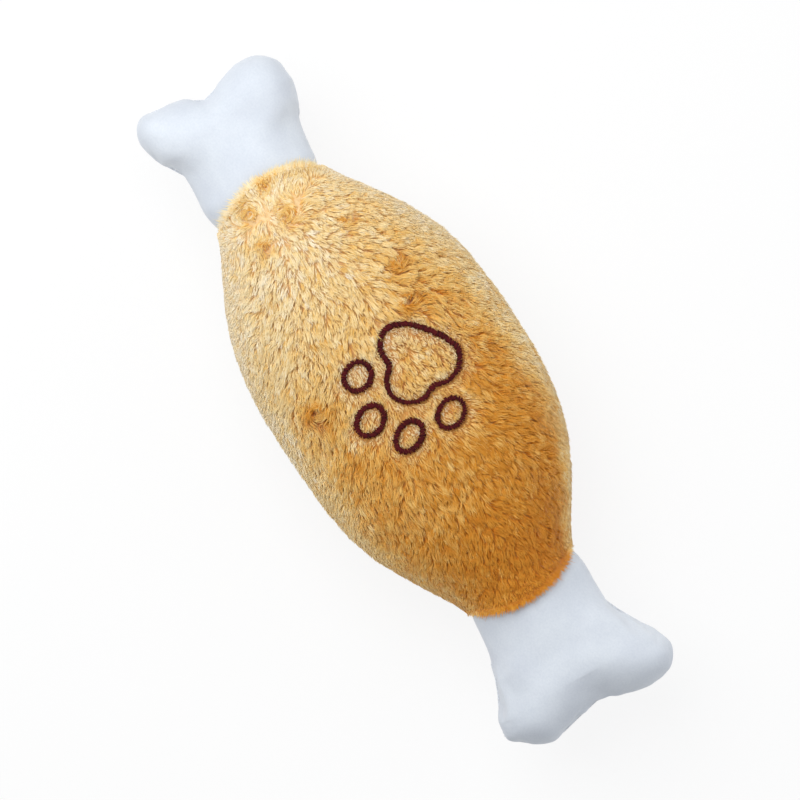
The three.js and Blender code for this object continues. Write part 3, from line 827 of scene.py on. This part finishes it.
def lay_pile(front, count, seed):
    paths, tones, widths, sideways = grow_pile(front, count, seed)
    radii = widths[:, None] / 2 * np.array([0.75, 1, 0])
    order = np.argsort(paths[:, 0, 0], kind="stable")
    for number, chosen in enumerate(np.array_split(order, math.ceil(count / STRANDS_IN_PIECE)), 1):
        name = f"body_{'front' if front else 'back'}_pile_{number}"
        piece = fibre_piece(
            name, paths[chosen], radii[chosen], 3, tones[chosen], sideways[chosen], PILE, pointed=True)
        if front:
            press(piece)
        else:
            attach(piece, "body")


lay_pile(True, FRONT_STRANDS, 20)
lay_pile(False, BACK_STRANDS, 40)


# White ends

def end_outline(end):
    """The sewn outline of an end about its pivot, pointing along +X, from neck to neck."""
    neck = np.array([(0, NECK_HALF_WIDTH)] * 2)
    knobs = np.array(end["outline"]) * (end["reach"], end["span"])
    points = np.concatenate([neck * (1, -1), knobs, neck])
    line = evenly(spline(points), 0.5 * MM)
    ahead = unit(np.gradient(line, axis=0))
    return line + END_SEAM_INSET * np.stack([-ahead[:, 1], ahead[:, 0]], -1)


def end_grid(end, rows_on_neck, rows_beyond, columns):
    """The upper half of an end about its pivot, pointing along +X, as rows of points from side to side."""
    line = end_outline(end)
    crest = end["reach"] - END_CREST_SETBACK
    corner = end["reach"] - END_CORNER_SETBACK
    turn = np.linspace(0, np.pi, columns)[None, :]
    x = np.linspace(-SLEEVE_DEPTH, crest, rows_on_neck)[:, None]
    throat = np.sqrt(NECK_HALF_HEIGHT ** 2 - np.minimum(x, END_WAIST) ** 2)
    neck = np.sqrt((NECK_HALF_WIDTH - END_SEAM_INSET) ** 2 - np.minimum(x, 0) ** 2)
    sides = []
    for side, sign in ((line, -1), (line[::-1], 1)):
        outward = side[: np.argmax(side[:, 0] > crest) + 1]
        sides.append(np.where(x > 0, np.interp(x, outward[:, 0], outward[:, 1]), sign * neck))
    y = (sides[0] + sides[1]) / 2 - (sides[1] - sides[0]) / 2 * np.cos(turn)
    near = np.stack([x + 0 * turn, y, throat * np.sin(turn)], -1)
    beyond = line[line[:, 0] >= corner]
    places = np.linspace(0, len(beyond) - 1, columns)
    edge = np.stack([np.interp(places, np.arange(len(beyond)), beyond[:, k]) for k in range(2)], -1)
    reached = np.sin(np.linspace(0, np.pi / 2, rows_beyond + 1)[1:])[:, None, None]
    plan = near[-1, :, :2] + (edge - near[-1, :, :2]) * reached
    grid = np.concatenate([near, np.concatenate([plan, 0 * plan[..., :1]], -1)])

    seam = tree_of([(*point, 0) for point in line])
    gap = np.array([seam.find((*point, 0))[2] for point in grid[..., :2].reshape(-1, 2)])
    share = 1 - np.minimum(gap.reshape(grid.shape[:2]) / END_ROUNDING, 1)
    pillow = (END_HALF_THICKNESS - END_SEAM_INSET) * np.sqrt(1 - share ** 2)
    pillow[:, [0, -1]] = 0
    pillow[-1] = 0
    swell = smooth(END_WAIST, 4 * END_WAIST, grid[..., 0])
    grid[..., 2] += swell * (pillow - grid[..., 2])
    bends = smooth(-2 * MM, 3 * MM, x) * (1 - smooth(9 * MM, 16 * MM, x))
    slim = 1 - NECK_SLIMMING * np.sin(2 * turn) ** 2 * bends
    middle = (sides[0] + sides[1]) / 2
    grid[:rows_on_neck, :, 1] = middle + (grid[:rows_on_neck, :, 1] - middle) * slim
    grid[:rows_on_neck, :, 2] *= slim
    return relax(grid, 8)


def relax(grid, steps):
    """The grid with the heights of its middle eased, and its edges kept."""
    eased = grid.copy()
    for _ in range(steps):
        height = eased[..., 2]
        around = height[:-2, 1:-1] + height[2:, 1:-1] + height[1:-1, :-2] + height[1:-1, 2:]
        eased[1:-1, 1:-1, 2] = around / 4
    return eased


def inflate(points, faces, held, frames, cap):
    """The points after a cloth simulation that blows the closed skin up from inside."""
    piece = make_piece("inflating", points, faces, WHITE)
    group = piece.vertex_groups.new(name="held")
    for weight in np.unique(held[held > 0]):
        group.add(np.flatnonzero(held == weight).tolist(), float(weight), "REPLACE")
    cloth = piece.modifiers.new("cloth", "CLOTH").settings
    cloth.quality = 6
    cloth.mass = 0.3
    cloth.tension_stiffness = cloth.compression_stiffness = 12
    cloth.shear_stiffness = 4
    cloth.bending_stiffness = 1
    cloth.use_pressure = True
    cloth.uniform_pressure_force = 5
    cloth.shrink_min = -0.02
    cloth.vertex_group_mass = "held"
    cloth.effector_weights.gravity = 0
    scene = bpy.context.scene
    for number in range(1, frames + 1):
        scene.frame_set(number)
    settled = piece.evaluated_get(bpy.context.evaluated_depsgraph_get()).to_mesh()
    result = np.zeros(len(points) * 3)
    settled.vertices.foreach_get("co", result)
    scene.frame_set(1)
    bpy.data.objects.remove(piece)
    move = result.reshape(-1, 3) - points
    size = np.linalg.norm(move, axis=1, keepdims=True)
    return points + move * np.minimum(1, cap / np.maximum(size, 1e-9))


def stuffed_end(side, end, seed):
    """Covers an end, and gives the points of the inside of its cover with their outward normals."""
    rows_on_neck, rows_beyond, columns = 34, 24, 53
    rows = rows_on_neck + rows_beyond
    upper = end_grid(end, rows_on_neck, rows_beyond, columns)
    lower = upper * (1, 1, -1)
    both = np.concatenate([upper.reshape(-1, 3), lower.reshape(-1, 3)])
    points, where = np.unique(np.round(both, 8), axis=0, return_inverse=True)
    where = where.ravel()
    halves = [grid_faces(rows, columns), grid_faces(rows, columns, rows * columns, True)]
    faces = where[np.concatenate(halves)]
    sleeve = smooth(14 * MM, 6 * MM, points[:, 0])
    seam = (np.abs(points[:, 2]) < 1e-6).astype(float)
    held = np.round(np.maximum(sleeve, seam), 2)
    points = inflate(points, faces, held, INFLATION_FRAMES, INFLATION)
    linings = []
    for front, grid in ((True, points[where[: rows * columns]]), (False, points[where[rows * columns:]])):
        name = f"{side}_end_{'front' if front else 'back'}_panel"
        linings.append(cover_end(name, side, end, relax(grid.reshape(rows, columns, 3), 6), front, seed))
    return [np.concatenate(halves) for halves in zip(*linings)]


def cover_end(name, side, end, grid, front, seed):
    """One fabric half of an end, with its dents, as a closed sheet that rides on the end."""
    normals = grid_normals(grid) * (1 if front else -1)
    rows, columns, _ = grid.shape
    flat = grid.reshape(-1, 3)
    loose = smooth(4 * MM, 16 * MM, flat[:, 0]) * smooth(0, 5 * MM, np.abs(flat[:, 2]))
    dents = sum(depth * soft_noise(flat, cell, seed + k) for k, (depth, cell) in enumerate(DENTS))
    line = np.pad(end_outline(end), ((0, 0), (0, 1)))
    seam = tree_of(line)
    nearest, gap = np.array([seam.find((x, y, 0))[1:] for x, y, _ in flat]).T
    height = np.abs(flat[:, 2])
    puckers = PUCKER_DEPTH * soft_noise(line[nearest.astype(int)], PUCKER_LENGTH, seed + 2)
    puckers *= np.exp(-((np.hypot(gap, height) / PUCKER_REACH) ** 2)) * smooth(0, 2 * MM, height)
    puckers -= END_SEAM_VALLEY * (height < 1e-6)
    move = loose * dents + smooth(2 * MM, 8 * MM, flat[:, 0]) * puckers
    outer = grid + move.reshape(rows, columns, 1) * normals
    inner = outer - END_FABRIC * normals * np.minimum(1, np.abs(grid[..., 2:]) / (3 * MM))
    points, faces = sheet_mesh(outer, inner, flip=not front)
    turn = end["turn"]
    spin = np.array([[math.cos(turn), -math.sin(turn), 0], [math.sin(turn), math.cos(turn), 0], [0, 0, 1]])
    piece = make_piece(f"{name}_cover", PIVOTS[side] + points @ spin.T, faces, WHITE)
    piece.modifiers.new("rounding", "SUBSURF").levels = 1
    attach(piece, f"{side}_end")
    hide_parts(name)
    return PIVOTS[side] + inner.reshape(-1, 3) @ spin.T, normals.reshape(-1, 3) @ spin.T


LININGS = {side: stuffed_end(side, end, seed) for seed, (side, end) in enumerate(ENDS.items(), 60)}


# Filling, kept inside the solids that it fills

def kept_inside(points, lining, outward):
    """The points, drawn in where they come too near to a lining."""
    tree = tree_of(lining)
    nearest = [tree.find(point)[1] for point in points]
    gap = np.sum((points - lining[nearest]) * outward[nearest], axis=1, keepdims=True)
    return points - np.maximum(0, gap + FILL_CLEARANCE) * outward[nearest]


def fill_mass(node, body, seed):
    source = frame["nodes"][node]
    copy = bpy.data.objects.new("filling", source.data.copy())
    bpy.context.scene.collection.objects.link(copy)
    remesh = copy.modifiers.new("remesh", "REMESH")
    remesh.mode = "VOXEL"
    remesh.voxel_size = FILL_VOXEL
    even = copy.evaluated_get(bpy.context.evaluated_depsgraph_get()).to_mesh()
    points = np.zeros(len(even.vertices) * 3)
    normals = np.zeros(len(even.vertices) * 3)
    even.vertices.foreach_get("co", points)
    even.vertices.foreach_get("normal", normals)
    faces = np.array([list(face.vertices) for face in even.polygons])
    points, normals = points.reshape(-1, 3), normals.reshape(-1, 3)
    bpy.data.objects.remove(copy)
    depth = FILL_INSET * (1 + 0.5 * soft_noise(points, FILL_CURL, seed))
    points = points - depth[:, None] * normals
    for lining in (LININGS[side] for side in LININGS if node.startswith(side)):
        points = kept_inside(points, *lining)
    piece = make_piece(f"{node}_fibre", points, faces, FIBRE)
    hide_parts(node)
    if body == "press":
        press(piece)
    else:
        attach(piece, body)


FILLING = {
    "stuffing_upper": "press", "stuffing_core": "press", "stuffing_lower": "body",
    "stuffing_left_shoulder": "press", "stuffing_right_shoulder": "press",
    "left_neck_stuffing": "left_neck", "right_neck_stuffing": "right_neck",
    "left_end_stuffing": "left_end", "right_end_stuffing": "right_end",
}
for seed, (node, body) in enumerate(FILLING.items(), 80):
    fill_mass(node, body, seed)


# Finishes of the CAD pieces that stay

KEPT = {
    "squeaker_bladder": BULB, "squeaker_reed": BULB, "squeaker_housing": INSERT,
    "squeaker_reed_bed": INSERT, "squeaker_reed_wedge": INSERT, "embroidery_backing": FELT,
    "body_seam_far": CARAMEL_THREAD, "body_seam_near_left": CARAMEL_THREAD,
    "body_seam_near_right": CARAMEL_THREAD, "closing_stitch": CARAMEL_THREAD,
    "left_neck_seam": CARAMEL_THREAD, "right_neck_seam": CARAMEL_THREAD,
    "left_end_seam": WHITE_THREAD, "right_end_seam": WHITE_THREAD,
}
for node, finish in KEPT.items():
    frame["nodes"][node].data.materials.clear()
    frame["nodes"][node].data.materials.append(finish)


# Stage, light and camera

def seen_directly(tree):
    """1 for rays straight from the camera, a mirror or glass, and 0 for the light on the object."""
    path = tree.nodes.new("ShaderNodeLightPath")
    total = path.outputs["Is Camera Ray"]
    for kind in ("Is Glossy Ray", "Is Transmission Ray"):
        both = tree.nodes.new("ShaderNodeMath")
        both.operation = "MAXIMUM"
        tree.links.new(total, both.inputs[0])
        tree.links.new(path.outputs[kind], both.inputs[1])
        total = both.outputs[0]
    return total


def make_floor():
    half = 3
    points = [(-half, -half, 0), (half, -half, 0), (half, half, 0), (-half, half, 0)]
    finish = Finish("pale_floor", base_color=colour(245, 245, 245), roughness=0.95)
    tree = finish.tree
    share = finish.node("Math", {0: seen_directly(tree), 1: 0.85}, operation="MULTIPLY").outputs[0]
    glow = finish.node("Emission", {"Strength": 1.0}).outputs[0]
    both = finish.node("MixShader", {0: share, 1: finish.shader.outputs[0], 2: glow}).outputs[0]
    tree.links.new(both, tree.nodes["Material Output"].inputs["Surface"])
    make_piece("floor", points, [(0, 1, 2, 3)], finish.material)


def make_world(strength):
    world = bpy.data.worlds.new("studio")
    bpy.context.scene.world = world
    world.use_nodes = True
    nodes, links = world.node_tree.nodes, world.node_tree.links
    soft = nodes["Background"]
    soft.inputs["Color"].default_value = colour(250, 252, 255)
    soft.inputs["Strength"].default_value = strength
    white = nodes.new("ShaderNodeBackground")
    white.inputs["Color"].default_value = (1, 1, 1, 1)
    white.inputs["Strength"].default_value = 1
    choice = nodes.new("ShaderNodeMixShader")
    links.new(seen_directly(world.node_tree), choice.inputs[0])
    links.new(soft.outputs[0], choice.inputs[1])
    links.new(white.outputs[0], choice.inputs[2])
    links.new(choice.outputs[0], nodes["World Output"].inputs["Surface"])


def make_lamp(name, place, watts, size):
    data = bpy.data.lights.new(name, "AREA")
    data.energy = watts
    data.size = size
    lamp = bpy.data.objects.new(name, data)
    lamp.location = place
    lamp.rotation_euler = (Vector(CENTRE) - lamp.location).to_track_quat("-Z", "Y").to_euler()
    bpy.context.scene.collection.objects.link(lamp)


def make_camera():
    data = bpy.data.cameras.new("camera")
    data.sensor_width = 36
    data.lens = data.sensor_width * CAMERA_DISTANCE / PHOTO_WIDTH
    camera = bpy.data.objects.new("camera", data)
    camera.location = (*PHOTO_MIDDLE, CENTRE[2] + CAMERA_DISTANCE)
    camera.rotation_euler = (0, 0, PHOTO_TURN)
    bpy.context.scene.collection.objects.link(camera)
    bpy.context.scene.camera = camera


make_floor()
make_world(WORLD_STRENGTH)
make_lamp("key", KEY_PLACE, KEY_WATTS, LAMP_SIZE)
make_lamp("fill", FILL_PLACE, FILL_WATTS, LAMP_SIZE)
make_camera()
bpy.context.scene.view_settings.view_transform = "Standard"
